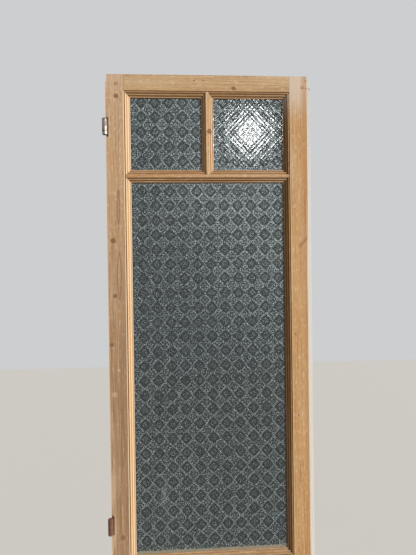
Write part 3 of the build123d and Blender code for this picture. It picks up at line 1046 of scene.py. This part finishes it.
def dot_mesh(name, places):
    """A mesh of loose points."""
    mesh = bpy.data.meshes.new(name)
    mesh.from_pydata([tuple(p) for p in places], [], [])
    return mesh


def old_iron(name, dark, light, metal):
    made, start, output = new_material(name)
    right, down, back = drawing_place(start)
    fine = right.vector(back, down).noise((1.0, 1.0, 1.0), 31.0, detail=4.0, rough=0.7)
    colour = fine.rise(0.35, 0.65).between(dark, light)
    rough = 0.5 + fine * 0.3
    values = {"Base Color": colour, "Metallic": metal, "Roughness": rough}
    finish_material(start, output, values | {"Normal": fine.bump(0.4, 0.2)})
    return made


print("head tree ready")

# %% [markdown]
# Each hinge plate has four screws in two staggered rows, on the leaf's left edge. Each bead has a
# pin about every 170 mm, near its outer edge, driven from the back. All of them stand almost flush.

# %% Screws and pins
SCREW_UP_AND_BACK = ((0.009, 0.014), (0.031, 0.022), (0.052, 0.016), (0.071, 0.024))
SCREW_PROUD, PIN_SUNK = 0.05 * MM, 0.05 * MM
PIN_PITCH = 0.17
PIN_LOW, PIN_HIGH = 0.28, 0.72
FACING_LEFT, FACING_BACK = (0.0, -math.pi / 2, 0.0), (-math.pi / 2, 0.0, 0.0)

iron = old_iron("screw_iron", tone(58, 42, 36), tone(150, 138, 128), 0.6)
pin_iron = old_iron("pin_iron", tone(48, 38, 34), tone(110, 96, 86), 0.5)
screw_places = []
for name in hinges:
    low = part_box(name)[0].z
    for up, back in SCREW_UP_AND_BACK:
        screw_places.append((left_edge - SCREW_PROUD, face + back, low + up))
values = {"Radius": 3.6 * MM, "Height": 0.7 * MM, "Slot": 0.9 * MM}
values |= {"Facing": FACING_LEFT, "Seed": 4, "Metal": iron}
screw_points = dot_mesh("screw_points", screw_places)
screws = grow("hinge_screws", head_tree("screw_heads", True), values, screw_points)
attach(screws, "root")

pin_places = []
for name in beads:
    low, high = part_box(name)
    span = high - low
    level = span.x > span.z
    count = max(2, round(max(span.x, span.z) / PIN_PITCH))
    outer = PIN_LOW if name.endswith(("left", "bottom")) else PIN_HIGH
    for i in range(count):
        along = (i + 0.5) / count
        x = low.x + span.x * (along if level else outer)
        z = low.z + span.z * (outer if level else along)
        pin_places.append((x, high.y - PIN_SUNK, z))
values = {"Radius": 0.9 * MM, "Height": 0.4 * MM}
values |= {"Facing": FACING_BACK, "Seed": 5, "Metal": pin_iron}
pins = grow("bead_pins", head_tree("pin_heads", False), values, dot_mesh("pin_points", pin_places))
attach(pins, "root")
print("screws:", len(screw_places), "faces:", len(screws.data.polygons))
print("pins:", len(pin_places), "faces:", len(pins.data.polygons))

# %% [markdown]
# At the top of the hinge stile a piece has broken off the corner and left a splinter sticking out.
# It is a thin wedge of torn wood, so a short loft of bent slivers draws it, root buried in the
# edge.

# %% The splinter
SPLINTER_BACK = 9.0
# Down from the top, right of the edge, and half the width, in mm.
SECTIONS = (
    (12.0, 3.4, 0.3), (15.0, 1.6, 1.3), (18.5, -0.4, 1.5),
    (21.5, -0.2, 1.3), (24.0, 1.0, 0.7), (26.0, 2.0, 0.2),
)
points, faces = [], []
for down, right, half in SECTIONS:
    left_side = (0.0, 0.0), (-half * 0.4, half * 2.4)
    right_side = (half + 1.2, half * 2.0), (half + 1.4, 0.0)
    for out, behind in left_side + right_side:
        points.append(tuple(in_frame(right + out, down, SPLINTER_BACK + behind)))
for i in range(len(SECTIONS) - 1):
    for k in range(4):
        a, b = i * 4 + k, i * 4 + (k + 1) % 4
        faces.append((a, b, b + 4, a + 4))
last = len(points) - 4
faces += [(3, 2, 1, 0), (last, last + 1, last + 2, last + 3)]
sliver = bpy.data.meshes.new("corner_splinter")
sliver.from_pydata(points, [], faces)
torn = dict(pale=tone(196, 160, 122), ruddy=tone(150, 106, 68), seed=12.0, ring=1.4)
sliver.materials.append(pine("pine_splinter", True, (20, -40), **torn))
splinter = add_object("corner_splinter", sliver)
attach(splinter, "root")
print("splinter faces:", len(sliver.polygons))

# %% [markdown]
# The stage is a pale floor at the foot of the door and a pale surround. The surround is at full
# strength only for what the camera sees straight on, in a gloss or through the glass, and gives
# the door just enough light to fill its shadows.

# %% Floor and surround
FLOOR_WIDE = 14
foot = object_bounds()[0].z
bpy.ops.mesh.primitive_plane_add(size=FLOOR_WIDE, location=(0.25, 0, foot))
floor = bpy.context.object
floor.name = "floor"
floor_paint, start, output = new_material("floor_paint")
finish_material(start, output, {"Base Color": tone(198, 197, 194), "Roughness": 0.9})
floor.data.materials.append(floor_paint)

world = bpy.data.worlds.new("surround")
bpy.context.scene.world = world
world.use_nodes = True
world.node_tree.nodes.clear()
start = Wire(world.node_tree)
ray = start.node("ShaderNodeLightPath", out="Is Camera Ray")
seen = ray.most(ray.out("Is Glossy Ray")).most(ray.out("Is Transmission Ray"))
shown = {"Color": tone(205, 206, 208), "Strength": 1.0}
fill = {"Color": (1.0, 0.97, 0.94, 1.0), "Strength": 0.1}
shown, fill = [start.node("ShaderNodeBackground", values=values) for values in (shown, fill)]
mixed = start.node("ShaderNodeMixShader", values={0: seen, 1: fill, 2: shown})
output = world.node_tree.nodes.new("ShaderNodeOutputWorld")
world.node_tree.links.new(mixed.socket, output.inputs["Surface"])
print("floor at", round(foot, 4))

# %% [markdown]
# A low sun from the upper right rakes the face, as in the photograph: it draws the mouldings, one
# side bright and one dark. A faint second lamp is there for gloss alone. It stands where the small
# right pane mirrors it to the camera, and the swell of the glass breaks it into sparks. A wide soft
# lamp behind lights the back evenly, and casts no hot spot on the glass there.


# %% Lamps
def far_lamp(name, strength, spread, along, colour=(1.0, 1.0, 1.0)):
    """A sun lamp: its strength, its width in degrees, the way its light goes, and its colour."""
    light = bpy.data.lights.new(name, "SUN")
    light.energy, light.angle, light.color = strength, math.radians(spread), colour
    lamp = add_object(name, light)
    lamp.rotation_euler = Vector(along).to_track_quat("-Z", "Y").to_euler()
    return lamp


sun = far_lamp("sun", 5.1, 3, (-1.65, 1.0, -0.95), (1.0, 0.96, 0.9))
glint = far_lamp("glint", 0.17, 4.4, (-0.1611, 0.9955, -0.3366))
glint.visible_diffuse = False
back_light = far_lamp("back_light", 1.6, 25, (0.5, -1.0, -0.6))
back_light.visible_glossy = False
print("lamps:", [lamp.name for lamp in (sun, glint, back_light)])

# %% [markdown]
# The camera stands where the photograph was taken from. Its place, height and slight turn were
# solved from the edges of the door in the photograph, so the lines of the door should fall on the
# same pixels. The solve gave a focal length of 417 pixels for a picture 555 pixels tall.

# %% Camera
FOCAL_PIXELS, PICTURE_TALL = 417, 555
RIGHT_WAY = Vector((0.99834, -0.05593, -0.01326))
UP_WAY = Vector((0.01372, 0.0078, 0.99987))
FORWARD = Vector((0.05582, 0.9984, -0.00855))
STANDPOINT = (0.1913, -1.0416, 1.6356)
lens = bpy.data.cameras.new("camera")
lens.sensor_width = 36.0
lens.lens = FOCAL_PIXELS / PICTURE_TALL * lens.sensor_width
camera = add_object("camera", lens)
turned = Matrix((RIGHT_WAY, UP_WAY, -FORWARD)).transposed().to_4x4()
camera.matrix_world = Matrix.Translation(STANDPOINT) @ turned
bpy.context.scene.camera = camera
bpy.context.scene.view_settings.view_transform = "Standard"
print("lens", round(lens.lens, 2), "mm")
